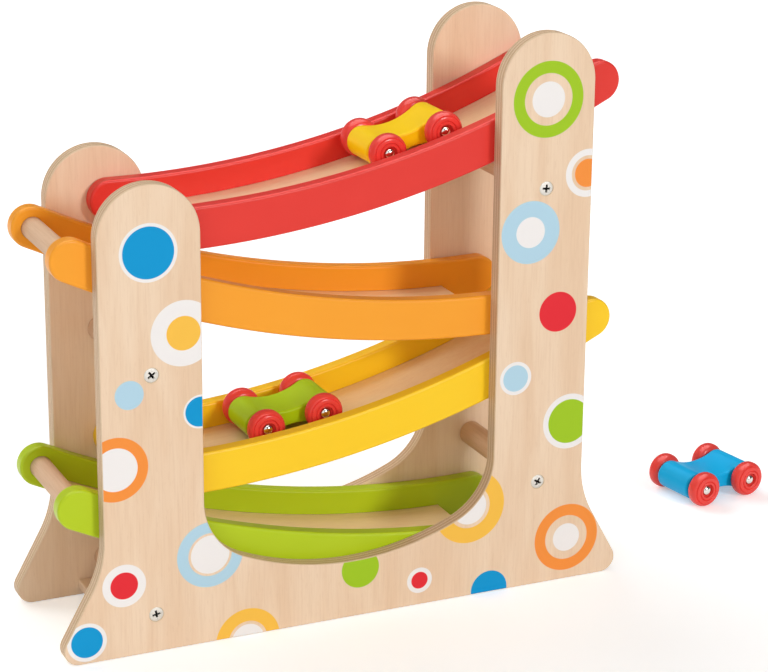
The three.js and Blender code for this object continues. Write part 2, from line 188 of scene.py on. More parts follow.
def shaded_by_height(low_colour, high_colour, heights):
    """One colour turning into another between two heights, from 0 at the horizon to 1 overhead."""
    share = add(sky, "ShaderNodeMapRange", {
        "Value": height, "From Min": heights[0], "From Max": heights[1],
    }, interpolation_type="SMOOTHSTEP")
    return add(sky, "ShaderNodeMix", {
        "Factor": share.outputs["Result"], "A": linear(low_colour), "B": linear(high_colour),
    }, data_type="RGBA").outputs["Result"]


room_light = add(sky, "ShaderNodeVectorMath", {
    0: shaded_by_height(*ROOM), "Scale": ROOM_GAIN,
}, operation="SCALE")
seen = add(sky, "ShaderNodeMix", {
    "Factor": add(sky, "ShaderNodeLightPath").outputs["Is Glossy Ray"],
    "A": shaded_by_height(*SKY), "B": room_light.outputs["Vector"],
}, data_type="RGBA")
sky.links.new(seen.outputs["Result"], sky.nodes["Background"].inputs["Color"])
sky.nodes["Background"].inputs["Strength"].default_value = SKY_STRENGTH
print("a sky of", SKY_STRENGTH, "and a room for reflections of", SKY_STRENGTH * ROOM_GAIN)

# %% [markdown]
# ## Paper floor
#
# The toy stands on a wide sheet of matt white paper. Lit at a plain level, white paper renders light
# grey. Stronger lamps would whiten it, but they would bleach the toy as well. So the paper glows a
# little, only for rays that come from the eye, from a shiny surface or through glass: the ground
# turns white, the polished pins mirror that white, and the shadow stays.

# %% Paper floor
PAPER_WHITE, PAPER_ROUGHNESS, PAPER_GLOW = "#FDFDFD", 0.95, 0.36
HALF_FLOOR = 7.0
FLOOR_DROP = 0.15 * MM

paper, paper_tree, paper_shader = new_material("matt_white_paper")
sight = add(paper_tree, "ShaderNodeLightPath").outputs
in_sight = sight["Is Camera Ray"]
for ray in ("Is Glossy Ray", "Is Transmission Ray"):
    either = add(paper_tree, "ShaderNodeMath", {0: in_sight, 1: sight[ray]}, operation="MAXIMUM")
    in_sight = either.outputs["Value"]
glow = add(paper_tree, "ShaderNodeMath", {0: in_sight, 1: PAPER_GLOW}, operation="MULTIPLY")
# the glow gives the eye a plain white ground without an edge
paper_tree.links.new(glow.outputs["Value"], paper_shader.inputs["Emission Strength"])
paper_shader.inputs["Emission Color"].default_value = linear("#FFFFFF")
paper_shader.inputs["Base Color"].default_value = linear(PAPER_WHITE)
# no gloss at all: the paper mirrors neither lamp nor toy
paper_shader.inputs["Roughness"].default_value = PAPER_ROUGHNESS
paper_shader.inputs["Specular IOR Level"].default_value = 0.0

corners = ((-1, -1), (1, -1), (1, 1), (-1, 1))
floor_corners = [(x * HALF_FLOOR, y * HALF_FLOOR, -FLOOR_DROP) for x, y in corners]
floor_mesh = bpy.data.meshes.new("paper_floor")
floor_mesh.from_pydata(floor_corners, [], [(0, 1, 2, 3)])
floor_mesh.materials.append(paper)
paper_floor = bpy.data.objects.new("paper_floor", floor_mesh)
scene.collection.objects.link(paper_floor)
print("paper of", 2 * HALF_FLOOR, "metres, just below the feet")

# %% [markdown]
# ## Patterns of real size
#
# Wood, paint and plating vary a little from place to place. Pictures wrapped on the pieces could
# show that, but noise worked out in the shader never repeats and stays sharp in a close view. A
# piece's own coordinates are counted in millimetres first, so that a patch of noise has a real size
# along each axis. A colour is then laid over another where the noise is strong.

# %% Patterns of real size
def in_millimetres(tree):
    """The piece's own coordinates, counted in millimetres."""
    place = add(tree, "ShaderNodeTexCoord").outputs["Object"]
    counted = add(tree, "ShaderNodeVectorMath", {0: place, "Scale": 1 / MM}, operation="SCALE")
    return counted.outputs["Vector"]


def patches(tree, place, size_mm, detail=2.0, distortion=0.0):
    """Noise whose patches have the given size along X, Y and Z, in millimetres."""
    scale = [1 / size for size in size_mm]
    scaled = add(tree, "ShaderNodeVectorMath", {0: place, 1: scale}, operation="MULTIPLY")
    return add(tree, "ShaderNodeTexNoise", {
        "Vector": scaled.outputs["Vector"], "Scale": 1.0, "Detail": detail, "Distortion": distortion,
    }).outputs["Fac"]


def laid_over(tree, base, top, pattern, span, most=1.0):
    """A colour laid over another between two values of a pattern, covering a share of it at most."""
    share = add(tree, "ShaderNodeMapRange", {
        "Value": pattern, "From Min": span[0], "From Max": span[1], "To Max": most,
    })
    return add(tree, "ShaderNodeMix", {
        "Factor": share.outputs["Result"], "A": base, "B": top,
    }, data_type="RGBA").outputs["Result"]


print("one millimetre of a piece is", MM, "in its own coordinates")

# %% [markdown]
# ## Wood grain
#
# Sanded birch and beech show three things along the grain: broad soft figure, fine fibres and short
# dark flecks. Each wood could have its own pattern, but one function with three sizes of noise serves
# them all. Real grain lines are a few tenths of a millimetre wide. They are drawn about a millimetre
# wide, because finer ones would not show in the picture.

# %% Wood grain
# each size is in millimetres across and along the grain
FIGURE_MM, FIBRE_MM, FLECK_MM = (16, 120), (1.1, 26), (0.8, 5)
FIGURE_DETAIL, FIBRE_DETAIL, FLECK_DETAIL = 3.0, 2.0, 1.0
FIGURE_SPAN, FIBRE_SPAN, FLECK_SPAN = (0.35, 0.65), (0.45, 0.8), (0.62, 0.74)
FIBRE_SHARE, FLECK_SHARE = 0.26, 0.15
FIGURE_WAVE = 0.6


def grain_colour(tree, place, colours, along, width=1.0):
    """Bare wood with figure, fibres and flecks along one axis, and its fibres by themselves."""
    pale, middle, dark = (linear(colour) for colour in colours)

    def grain(size_mm, detail, distortion=0.0):
        across_mm, along_mm = size_mm
        sizes = [along_mm if axis == along else across_mm * width for axis in "XYZ"]
        return patches(tree, place, sizes, detail, distortion)

    # the figure gives the eye soft clouds, the fibres fine lines, and the flecks tell real wood
    figure = grain(FIGURE_MM, FIGURE_DETAIL, FIGURE_WAVE)
    fibres = grain(FIBRE_MM, FIBRE_DETAIL)
    flecks = grain(FLECK_MM, FLECK_DETAIL)
    colour = laid_over(tree, pale, middle, figure, FIGURE_SPAN)
    colour = laid_over(tree, colour, dark, fibres, FIBRE_SPAN, FIBRE_SHARE)
    colour = laid_over(tree, colour, dark, flecks, FLECK_SPAN, FLECK_SHARE)
    return colour, fibres


print("fibres are drawn", FIBRE_MM[0], "mm wide and", FIBRE_MM[1], "mm long")

# %% [markdown]
# ## The print on the panels
#
# Dots and rings are screen-printed on the outside of both panels with a thin, even ink. A picture could
# hold them, but a loop over centres and radii keeps their rims sharp at any size. Each ring is drawn
# over the ones before it, and `WOOD` lets the bare board show again between two rings.

# %% The print on the panels
WOOD = None
WHITE, BLUE, SKY_BLUE = "#F1ECE9", "#0096D0", "#B3D4E4"
RED, GREEN, YELLOW, ORANGE = "#E42B35", "#A0C722", "#F8C04A", "#F6923E"
PRINT_RIM_MM = 0.12
PRINT = [
    # centre x and z in millimetres, then radius and ink from the outside in
    (-114.5, 223.4, [(15.8, WHITE), (14.0, BLUE)]),
    (-96.2, 178.0, [(18.0, WHITE), (9.4, YELLOW)]),
    (-126.5, 147.9, [(7.9, SKY_BLUE)]),
    (-87.6, 133.6, [(9.4, WHITE), (8.35, BLUE)]),
    (-134.9, 107.7, [(17.9, ORANGE), (12.05, WHITE)]),
    (-83.2, 51.4, [(18.8, SKY_BLUE), (12.4, WOOD), (11.0, WHITE)]),
    (-131.8, 41.5, [(12.15, WHITE), (7.7, RED)]),
    (-153.2, 12.5, [(11.0, WHITE), (8.8, BLUE)]),
    (-61.9, -2.7, [(18.6, YELLOW), (11.2, WOOD), (9.4, WHITE)]),
    (4.9, 28.0, [(11.2, GREEN)]),
    (41.1, 14.8, [(7.65, WHITE), (5.05, RED)]),
    (84.7, 1.8, [(11.3, BLUE)]),
    (71.4, 54.1, [(21.6, YELLOW), (12.6, WOOD), (10.4, WHITE)]),
    (133.5, 25.7, [(20.2, ORANGE), (13.4, WOOD), (8.45, WHITE)]),
    (132.8, 96.6, [(16.35, WHITE), (13.05, GREEN)]),
    (98.3, 126.7, [(9.7, WHITE), (7.65, SKY_BLUE)]),
    (123.5, 162.5, [(11.55, RED)]),
    (105.1, 210.1, [(17.75, SKY_BLUE), (8.75, WHITE)]),
    (139.3, 240.4, [(13.55, WHITE), (9.9, WOOD), (7.95, ORANGE)]),
    (113.8, 283.6, [(21.1, GREEN), (14.4, WOOD), (9.85, WHITE)]),
]


def printed_colour(tree, place, board):
    """The board's colour with the dots printed over it."""
    flat = add(tree, "ShaderNodeVectorMath", {0: place, 1: (1, 0, 1)}, operation="MULTIPLY")
    colour = board
    for x, z, rings in PRINT:
        reach = add(tree, "ShaderNodeVectorMath", {
            0: flat.outputs["Vector"], 1: (x, 0, z),
        }, operation="DISTANCE").outputs["Value"]
        for radius, ink in rings:
            top = board if ink is WOOD else linear(ink)
            colour = laid_over(tree, colour, top, reach, (radius + PRINT_RIM_MM, radius - PRINT_RIM_MM))
    return colour


print(len(PRINT), "printed dots of", sum(len(rings) for _, _, rings in PRINT), "rings")

# %% [markdown]
# ## Birch plywood
#
# The panels are birch plywood: thin sheets of pale wood glued with the grain crossed in turn, sanded
# and clear-lacquered. The edge shows the sheets as stripes, paler where the grain runs along and
# darker where it is cut across, with a line of glue between them. Face and edge could be two
# materials, but one that looks at the surface's direction needs no seam between them. Generated
# coordinates run from 0 to 1 through the board, so they place the stripes, and tell the printed side
# from the bare one.

# %% Plywood edges
LONG_GRAIN, CUT_GRAIN, GLUE_LINE = linear("#E0C6A6"), linear("#CAA885"), linear("#A07E5B")
PLY_COUNT, GLUE_SHARE = 7, 0.12
# millimetres along, through and up the board
SPECKLE_MM, SPECKLE_SPAN, SPECKLE_SHARE = (1.6, 0.5, 1.6), (0.4, 0.7), 0.3


def ply_edge(tree, place, through):
    """The sheets and glue lines on a plywood edge, speckled where the saw cut the fibres."""
    stripes = add(tree, "ShaderNodeValToRGB", {"Fac": through})
    stripes.color_ramp.interpolation = "CONSTANT"
    marks = stripes.color_ramp.elements
    marks[0].position, marks[0].color = 0.0, LONG_GRAIN
    marks[1].position, marks[1].color = (1 - GLUE_SHARE) / PLY_COUNT, GLUE_LINE
    for sheet in range(1, PLY_COUNT):
        marks.new(sheet / PLY_COUNT).color = CUT_GRAIN if sheet % 2 else LONG_GRAIN
        if sheet < PLY_COUNT - 1:
            marks.new((sheet + 1 - GLUE_SHARE) / PLY_COUNT).color = GLUE_LINE
    speckle = patches(tree, place, SPECKLE_MM)
    return laid_over(tree, stripes.outputs["Color"], CUT_GRAIN, speckle, SPECKLE_SPAN, SPECKLE_SHARE)


print("plywood of", PLY_COUNT, "sheets")

# %% Birch plywood
BIRCH = ("#F0D5B8", "#E9C9A9", "#D3AC88")
# shares of the way through the board
INK_DEPTH, INK_STEP = 0.03, 0.001
# how squarely a surface faces sideways where edge turns into face
FACE_SPAN = (0.72, 0.9)
# most of a noise lies between these values
NOISE_SPREAD = (0.3, 0.7)
LACQUER_SHEEN, LACQUER_ROUGHNESS, LACQUER_BUMP = 0.18, (0.42, 0.54), 0.12
FIBRE_HEIGHT = 0.06 * MM


def birch_plywood(name, printed_side):
    """Lacquered birch plywood, printed on side 0 or side 1 as counted through the board."""
    material, tree, shader = new_material(name)
    place = in_millimetres(tree)
    board = add(tree, "ShaderNodeTexCoord").outputs["Generated"]
    through = add(tree, "ShaderNodeSeparateXYZ", {"Vector": board}).outputs["Y"]
    bare, fibres = grain_colour(tree, place, BIRCH, "Z")
    ink_span = (INK_DEPTH + INK_STEP, INK_DEPTH - INK_STEP)
    if printed_side == 1:
        ink_span = tuple(1 - share for share in ink_span)
    face = laid_over(tree, bare, printed_colour(tree, place, bare), through, ink_span)

    normal = add(tree, "ShaderNodeNewGeometry").outputs["Normal"]
    sideways = add(tree, "ShaderNodeSeparateXYZ", {"Vector": normal}).outputs["Y"]
    flatness = add(tree, "ShaderNodeMath", {0: sideways}, operation="ABSOLUTE").outputs["Value"]
    # pale faces with a striped edge: at a glance the eye reads sheets of wood, not a solid board
    colour = laid_over(tree, ply_edge(tree, place, through), face, flatness, FACE_SPAN)
    tree.links.new(colour, shader.inputs["Base Color"])
    # lacquer sinks into the fibres: faces are matt, with a dull shine that breaks up along the grain
    gloss = add(tree, "ShaderNodeMapRange", {
        "Value": fibres, "From Min": NOISE_SPREAD[0], "From Max": NOISE_SPREAD[1],
        "To Min": LACQUER_ROUGHNESS[0], "To Max": LACQUER_ROUGHNESS[1],
    })
    tree.links.new(gloss.outputs["Result"], shader.inputs["Roughness"])
    # lacquer's usual IOR of 1.5 is the shader's own, and a thin coat shines less than its full level
    shader.inputs["Specular IOR Level"].default_value = LACQUER_SHEEN
    # the raised grain catches a low light as fine upright lines
    bump = add(tree, "ShaderNodeBump", {
        "Height": fibres, "Strength": LACQUER_BUMP, "Distance": FIBRE_HEIGHT,
    })
    tree.links.new(bump.outputs["Normal"], shader.inputs["Normal"])
    return material


front_birch = birch_plywood("lacquered_birch_plywood_front", 0)
back_birch = birch_plywood("lacquered_birch_plywood_back", 1)
print("plywood materials:", [material.name for material in (front_birch, back_birch)])

# %% [markdown]
# ## Satin enamel
#
# Rails and car bodies wear a satin enamel, sprayed on sanded wood, and the wheels are dipped in it. One
# even colour with one gloss would do for a small piece, but a long rail would look like plastic. Real
# paint has thick and thin places that change its depth and its gloss a little, and a faint orange
# peel about a millimetre wide. The peel is drawn wider than that, so that it shows in the picture.
# The dipped wheels come out the glossiest, and the cars the dullest.

# %% Satin enamel
FILM_MM, FILM_SPAN, FILM_SHARE = 30, (0.1, 0.9), 0.5
GLOSS_MM, GLOSS_CHANGE = 18, 0.03
PEEL_MM, PEEL_HEIGHT, PEEL_BUMP = 2.4, 0.04 * MM, 0.05


def satin_enamel(name, shades, roughness, sheen):
    """Satin paint in two shades: where it lies thin and where it lies thick."""
    thin, thick = (linear(shade) for shade in shades)
    material, tree, shader = new_material(name)
    place = in_millimetres(tree)
    # a little deeper in places: the eye sees a coat of paint, and not one flat colour
    film = patches(tree, place, (FILM_MM, FILM_MM, FILM_MM))
    colour = laid_over(tree, thin, thick, film, FILM_SPAN, FILM_SHARE)
    tree.links.new(colour, shader.inputs["Base Color"])
    # a satin gloss: the eye gets a soft bright line on each rounded edge, sharper here, duller there
    spots = patches(tree, place, (GLOSS_MM, GLOSS_MM, GLOSS_MM), detail=0.0)
    gloss = add(tree, "ShaderNodeMapRange", {
        "Value": spots, "To Min": roughness - GLOSS_CHANGE, "To Max": roughness + GLOSS_CHANGE,
    })
    tree.links.new(gloss.outputs["Result"], shader.inputs["Roughness"])
    # enamel's usual IOR of 1.5 is the shader's own, brought down to a satin level
    shader.inputs["Specular IOR Level"].default_value = sheen
    # orange peel: reflections waver a little
    peel = patches(tree, place, (PEEL_MM, PEEL_MM, PEEL_MM), detail=0.0)
    bump = add(tree, "ShaderNodeBump", {"Height": peel, "Strength": PEEL_BUMP, "Distance": PEEL_HEIGHT})
    tree.links.new(bump.outputs["Normal"], shader.inputs["Normal"])
    return material


print("orange peel is drawn", PEEL_MM, "mm wide")

# %% Painted colours
PAINT_SHEEN, CAR_SHEEN = 0.28, 0.2
RAIL_ROUGHNESS, CAR_ROUGHNESS, WHEEL_ROUGHNESS = 0.32, 0.4, 0.22
RAIL_SHADES = {
    "red": ("#E63B31", "#DC2F28"),
    "orange": ("#F9A42B", "#F59A22"),
    "yellow": ("#FED022", "#FBC616"),
    "green": ("#B9D01E", "#ACC60C"),
}
CAR_SHADES = {
    "yellow": ("#FFD400", "#FCCB00"),
    "green": ("#AFD40A", "#A3C804"),
    "blue": ("#00B2EA", "#00A6DE"),
}
WHEEL_SHADES = ("#EF4A42", "#E83C36")

rail_paint = {
    colour: satin_enamel(f"satin_enamel_{colour}", shades, RAIL_ROUGHNESS, PAINT_SHEEN)
    for colour, shades in RAIL_SHADES.items()
}
car_paint = {
    colour: satin_enamel(f"car_enamel_{colour}", shades, CAR_ROUGHNESS, CAR_SHEEN)
    for colour, shades in CAR_SHADES.items()
}
wheel_paint = satin_enamel("wheel_enamel_red", WHEEL_SHADES, WHEEL_ROUGHNESS, PAINT_SHEEN)
print("enamels:", len(rail_paint) + len(car_paint) + 1)

# %% [markdown]
# ## Bare wood
#
# The floors are thin lacquered plywood with the grain along the ramp, the strip between the feet is cut
# from birch, and the dowels are sanded beech with its short brown flecks. The panels' material could
# serve for all, but only a thick board shows stripes on its edge. So these woods share the grain, each
# with its own colours, direction and gloss.

# %% Bare wood
BARE_BUMP = 0.15
THIN_PLYWOOD = ("#FBE0B6", "#F6D4A6", "#E0B88A")
BEECH = ("#DDB998", "#D2AA87", "#AE8361")


def bare_wood(name, colours, along, width, roughness):
    """Sanded or lacquered wood with its grain along one axis."""
    material, tree, shader = new_material(name)
    colour, fibres = grain_colour(tree, in_millimetres(tree), colours, along, width)
    tree.links.new(colour, shader.inputs["Base Color"])
    shader.inputs["Roughness"].default_value = roughness
    # raised fibres: the wood looks dry and sanded in a close view
    bump = add(tree, "ShaderNodeBump", {
        "Height": fibres, "Strength": BARE_BUMP, "Distance": FIBRE_HEIGHT,
    })
    tree.links.new(bump.outputs["Normal"], shader.inputs["Normal"])
    return material


# lacquered smooth for the cars: a soft shine lies on the floors and shows how they curve
floor_wood = bare_wood("lacquered_thin_plywood", THIN_PLYWOOD, along="X", width=1.2, roughness=0.34)
# dull and a shade browner than the panels: the dowels read as another wood
dowel_wood = bare_wood("sanded_beech", BEECH, along="Y", width=0.7, roughness=0.6)
# the panels' colours with the grain across the toy: the strip reads as an offcut
strip_wood = bare_wood("lacquered_birch_strip", BIRCH, along="Y", width=1.0, roughness=0.5)
print("bare woods:", [material.name for material in (floor_wood, dowel_wood, strip_wood)])

# %% [markdown]
# ## Plated steel
#
# Screws are zinc-plated and the axle pins nickel-plated: zinc is dull and greyish, and nickel nearly
# a mirror. A plain metal looks computed, so handling marks break up its polish, drawn coarser than real
# ones so that they show. The cross of a screw is painted dark, for dirt and for the shade that falls
# into it. A mask could pick it out, but the depth below the head's top gives it without one.

# %% Plated steel
MARK_MM, MARK_DETAIL = 0.9, 3.0
# painted shade and dirt in the screw's cross, and the depths below the head's top over which it darkens
RECESS_DIRT_AND_SHADE = "#2B2826"
DIRT_AND_SHADE_SPAN_MM = (-0.7, -1.1)


def plated_steel(name, hex_colour, roughness, dirt_and_shade=None):
    """Plated steel with a smoothest and a roughest polish. Dirt and painted shade, if any, lie below the head's
    top.
    """
    material, tree, shader = new_material(name)
    place = in_millimetres(tree)
    shader.inputs["Base Color"].default_value = linear(hex_colour)
    if dirt_and_shade:
        # painted shade and dirt: the recess turns dark below the head's top, so the eye finds the cross from far
        # away
        depth = add(tree, "ShaderNodeSeparateXYZ", {"Vector": place}).outputs["Y"]
        colour = laid_over(tree, linear(hex_colour), linear(dirt_and_shade), depth, DIRT_AND_SHADE_SPAN_MM)
        tree.links.new(colour, shader.inputs["Base Color"])
    shader.inputs["Metallic"].default_value = 1.0
    marks = patches(tree, place, (MARK_MM, MARK_MM, MARK_MM), MARK_DETAIL)
    gloss = add(tree, "ShaderNodeMapRange", {
        "Value": marks, "From Min": NOISE_SPREAD[0], "From Max": NOISE_SPREAD[1],
        "To Min": roughness[0], "To Max": roughness[1],
    })
    tree.links.new(gloss.outputs["Result"], shader.inputs["Roughness"])
    return material


# zinc: a soft grey shine without a clear reflection, and painted shade with dirt in the cross
zinc = plated_steel("zinc_plated_steel", "#D8D4CC", roughness=(0.52, 0.62), dirt_and_shade=RECESS_DIRT_AND_SHADE)
# nickel: a small clear highlight on each dome, with the red of the wheel round it
nickel = plated_steel("nickel_plated_steel", "#DEDBD4", roughness=(0.08, 0.18))
print("metals:", [material.name for material in (zinc, nickel)])

# %% [markdown]
# ## Finer curves
#
# Panels, rails and cars are sawn along smooth curves, which the frame has as chains of short flats. A
# Subdivision Surface could smooth them, but it would melt the corners too. So each flat of a rim is
# cut into shorter ones, and the new points move out to a curve that joins the flats beside it without
# a kink. Corners keep their kink, and a flat much longer than both its neighbours stays straight.

# %% Finer curves
CORNER_ANGLE = math.radians(40)
STRAIGHT_RATIO = 3
FLAT_CUTS = 3
FACE_SHARE = 0.9999


def is_flat_face(face, across):
    """True for a face that lies square to the thickness."""
    return abs(face.normal.dot(across)) > FACE_SHARE


def curve_slope(edge, vertex, rims, across):
    """The slope at which a rim's curve leaves a flat at one of its ends, or None at a corner."""
    neighbours = [other for other in vertex.link_edges if other in rims and other is not edge]
    if len(neighbours) != 1:
        return None
    going = (edge.other_vert(vertex).co - vertex.co).normalized()
    coming = (vertex.co - neighbours[0].other_vert(vertex).co).normalized()
    turn_angle = math.atan2(coming.cross(going).dot(across), coming.dot(going))
    own, other = edge.calc_length(), neighbours[0].calc_length()
    if abs(turn_angle) > CORNER_ANGLE:
        return None
    if own > STRAIGHT_RATIO * other:
        return 0.0
    share = 1.0 if other > STRAIGHT_RATIO * own else other / (own + other)
    return math.tan(turn_angle * share)


def end_slopes(edge, rims, across):
    """The slopes at both ends of a flat, seen from its first. A corner takes the other end's slope."""
    leave, arrive = (curve_slope(edge, vertex, rims, across) for vertex in edge.verts)
    arrive = None if arrive is None else -arrive
    known = [slope for slope in (leave, arrive) if slope is not None] or [0.0]
    return known[0] if leave is None else leave, known[0] if arrive is None else arrive


def round_flats(mesh, across):
    """Cuts the flats of every curved rim finer and moves the new points out to the curve."""
    mesh.normal_update()
    rims = [edge for edge in mesh.edges
            if len({is_flat_face(face, across) for face in edge.link_faces}) == 2]
    known_rims = set(rims)
    curved = {}
    for edge in rims:
        slopes = end_slopes(edge, known_rims, across)
        if any(slopes):
            curved[edge] = [vertex.co.copy() for vertex in edge.verts] + list(slopes)
    bmesh.ops.subdivide_edges(mesh, edges=list(curved), cuts=FLAT_CUTS)
    mesh.verts.ensure_lookup_table()
    finder = KDTree(len(mesh.verts))
    for vertex in mesh.verts:
        finder.insert(vertex.co, vertex.index)
    finder.balance()
    for first, last, leave, arrive in curved.values():
        outwards = (last - first).cross(across)
        for step in range(1, FLAT_CUTS + 1):
            share = step / (FLAT_CUTS + 1)
            spot = first.lerp(last, share)
            # a cubic that starts with one slope and ends with the other
            rise = leave * share * (1 - share) ** 2 + arrive * share ** 2 * (1 - share)
            mesh.verts[finder.find(spot)[1]].co = spot + outwards * rise


print("each flat of a curve becomes", FLAT_CUTS + 1)

# %% [markdown]
# ## Rolled rims
#
# Sawn boards have sharp edges, and a toy maker rounds them with a router or sandpaper. A Bevel modifier
# could do that on all edges at once, but rails also have a groove and a socket, and panels have screw
# holes, which stay crisp. So only the rims are rounded: a rim is where a wall that runs through the
# whole thickness meets a face. The faces are taken off, each rim is rolled over in a quarter circle,
# and the faces are filled again inside the new rims.

# %% Finding the rims
WALL_SHARE = 0.95
PLANE_STEP = 0.01 * MM


def rim_of(mesh, across, height, thickness):
    """Edges where a wall through the whole thickness meets the face at a height."""
    def is_wall(face):
        places = [vertex.co.dot(across) for vertex in face.verts]
        return max(places) - min(places) > WALL_SHARE * thickness

    def at_height(edge):
        return all(abs(vertex.co.dot(across) - height) < PLANE_STEP for vertex in edge.verts)

    return [edge for edge in mesh.edges
            if at_height(edge) and len({is_wall(face) for face in edge.link_faces}) == 2]


def both_rims(mesh, across):
    """For each side: its direction, its rim's edges as pairs of ends, and the way outward at each end."""
    spread = [vertex.co.dot(across) for vertex in mesh.verts]
    thickness = max(spread) - min(spread)
    rims = []
    for side, height in ((across, max(spread)), (-across, min(spread))):
        pairs, outward = [], {}
        for edge in rim_of(mesh, across, height, thickness):
            wall = next(face for face in edge.link_faces if not is_flat_face(face, across))
            pairs.append(edge.verts[:])
            for vertex in edge.verts:
                outward[vertex] = outward.get(vertex, Vector()) + wall.normal
        rims.append((side, pairs, outward))
    return rims


print("a wall runs through", WALL_SHARE, "of the thickness or more")

# %% Rolling the rims over
ROUNDING_STEPS = 6


def roll_over(mesh, side, pairs, outward, radius):
    """Turns a rim into a band that rolls from the wall into the face."""
    rings = {}
    for vertex, direction in outward.items():
        rim_place = vertex.co.copy()
        vertex.co = rim_place - side * radius
        rings[vertex] = [vertex]
        for step in range(1, ROUNDING_STEPS + 1):
            angle = math.pi / 2 * step / ROUNDING_STEPS
            drop = side * (1 - math.sin(angle)) + direction.normalized() * (1 - math.cos(angle))
            rings[vertex].append(mesh.verts.new(rim_place - drop * radius))
    for first, last in pairs:
        for step in range(ROUNDING_STEPS):
            lower = (rings[first][step], rings[last][step])
            upper = (rings[last][step + 1], rings[first][step + 1])
            mesh.faces.new(lower + upper)


def round_rims(mesh, across, radius):
    """Rolls both outer rims over, and fills the faces again with their holes left open."""
    mesh.normal_update()
    flats = [face for face in mesh.faces if is_flat_face(face, across)]
    levels = sorted({round(face.verts[0].co.dot(across) / PLANE_STEP) for face in flats})
    rims = both_rims(mesh, across)
    bmesh.ops.delete(mesh, geom=flats, context="FACES")
    for side, pairs, outward in rims:
        roll_over(mesh, side, pairs, outward, radius)
    for level in levels:
        hole = [edge for edge in mesh.edges if edge.is_boundary
                and all(round(vertex.co.dot(across) / PLANE_STEP) == level for vertex in edge.verts)]
        bmesh.ops.triangle_fill(mesh, edges=hole, use_beauty=True, normal=across)
    bmesh.ops.recalc_face_normals(mesh, faces=mesh.faces)


print("rims are rolled over in", ROUNDING_STEPS, "steps")

# %% [markdown]
# ## Straight shading
#
# Smooth shading blends the directions of all faces that meet in a point. On a filled face with long
# thin triangles that leaves smears round every hole, where a sanded board is flat to the eye. Weighted
# normals help only a little there. So the directions are written down corner by corner: flat
# faces keep their own, walls stay upright, and only the band between them turns from one to the other.

# %% Straight shading
SHARP_ANGLE = math.radians(32)
WALL_TILT = 0.02


def straighten_shading(mesh, across):
    """Keeps faces and walls flat to the eye, and lets each rounding start and end in their directions."""
    flat, walls = {}, set()
    for face in mesh.polygons:
        share = abs(face.normal.dot(across))
        if share > FACE_SHARE:
            flat.update({vertex: face.normal.copy() for vertex in face.vertices})
        elif share < WALL_TILT:
            walls.update(face.vertices)
    normals = [corner.vector.copy() for corner in mesh.corner_normals]
    for face in mesh.polygons:
        for corner, vertex in zip(face.loop_indices, face.vertices):
            if vertex in flat and flat[vertex].angle(face.normal) < SHARP_ANGLE:
                normals[corner] = flat[vertex]
            elif vertex in walls:
                normals[corner] -= across * normals[corner].dot(across)
                normals[corner].normalize()
    mesh.normals_split_custom_set(normals)


print("edges sharper than", round(math.degrees(SHARP_ANGLE)), "degrees stay crisp")

# %% [markdown]
# ## A piece in its node's place
#
# Every new piece takes the place of one node: it stands where the node stands, rides on the same body
# when a joint moves, and gets the finish it is given. One function does that for all of them. A
# Weighted Normal modifier keeps large faces flat to the eye beside small rounded edges. Pieces whose
# shading is worked out another way do without it.

# %% A piece in its node's place
def show(mesh, node, material, place=None, weigh=True):
    """Shows a mesh in place of a node, on the node's body and with its finish."""
    piece = bpy.data.objects.new(f"{node}_piece", mesh)
    scene.collection.objects.link(piece)
    if not mesh.materials:
        mesh.materials.append(material)
    if place is not None:
        piece.matrix_world = place
    if weigh:
        piece.modifiers.new("flat_faces", "WEIGHTED_NORMAL").keep_sharp = True
    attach(piece, body_of_node[node])
    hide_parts(node)
    return piece


# %% [markdown]
# ## Softened pieces
#
# With these steps each sawn piece is a copy of its node: facets in one plane are joined, curves
# cut finer and rims rolled over. The floors and the strip are thin and plain, without grooves or
# holes, so there a bevel on all sharp edges does the same with less work. Rails are rounded the most,
# because hands meet them first, and thin floors the least.

# %% Softening a piece
MERGE_REACH = 0.001 * MM
FLAT_ANGLE = math.radians(0.3)


def soften(node, radius_mm, material, across=Vector((0, 1, 0)), all_edges=False):
    """A copy of a node with finer curves and rounded rims, shown in the node's place."""
    mesh = bmesh.new()
    mesh.from_mesh(nodes[node].data)
    bmesh.ops.remove_doubles(mesh, verts=mesh.verts, dist=MERGE_REACH)
    bmesh.ops.dissolve_limit(mesh, angle_limit=FLAT_ANGLE, verts=mesh.verts, edges=mesh.edges)
    round_flats(mesh, across)
    if all_edges:
        sharp = [edge for edge in mesh.edges if edge.calc_face_angle() > SHARP_ANGLE]
        bmesh.ops.bevel(mesh, geom=sharp, offset=radius_mm * MM, offset_type="OFFSET",
                        segments=ROUNDING_STEPS, profile=0.5, affect="EDGES", clamp_overlap=True)
    else:
        round_rims(mesh, across, radius_mm * MM)
    made = bpy.data.meshes.new(f"{node}_soft")
    mesh.to_mesh(made)
    mesh.free()
    made.shade_smooth()
    made.set_sharp_from_angle(angle=SHARP_ANGLE)
    if not all_edges:
        straighten_shading(made, across)
    return show(made, node, material, weigh=all_edges)


print("facets within", round(math.degrees(FLAT_ANGLE), 1), "degrees are joined first")

# %% Softened pieces
# millimetres
PANEL_ROUNDING, RAIL_ROUNDING, FLOOR_ROUNDING, CAR_ROUNDING = 0.9, 1.6, 0.4, 1.3

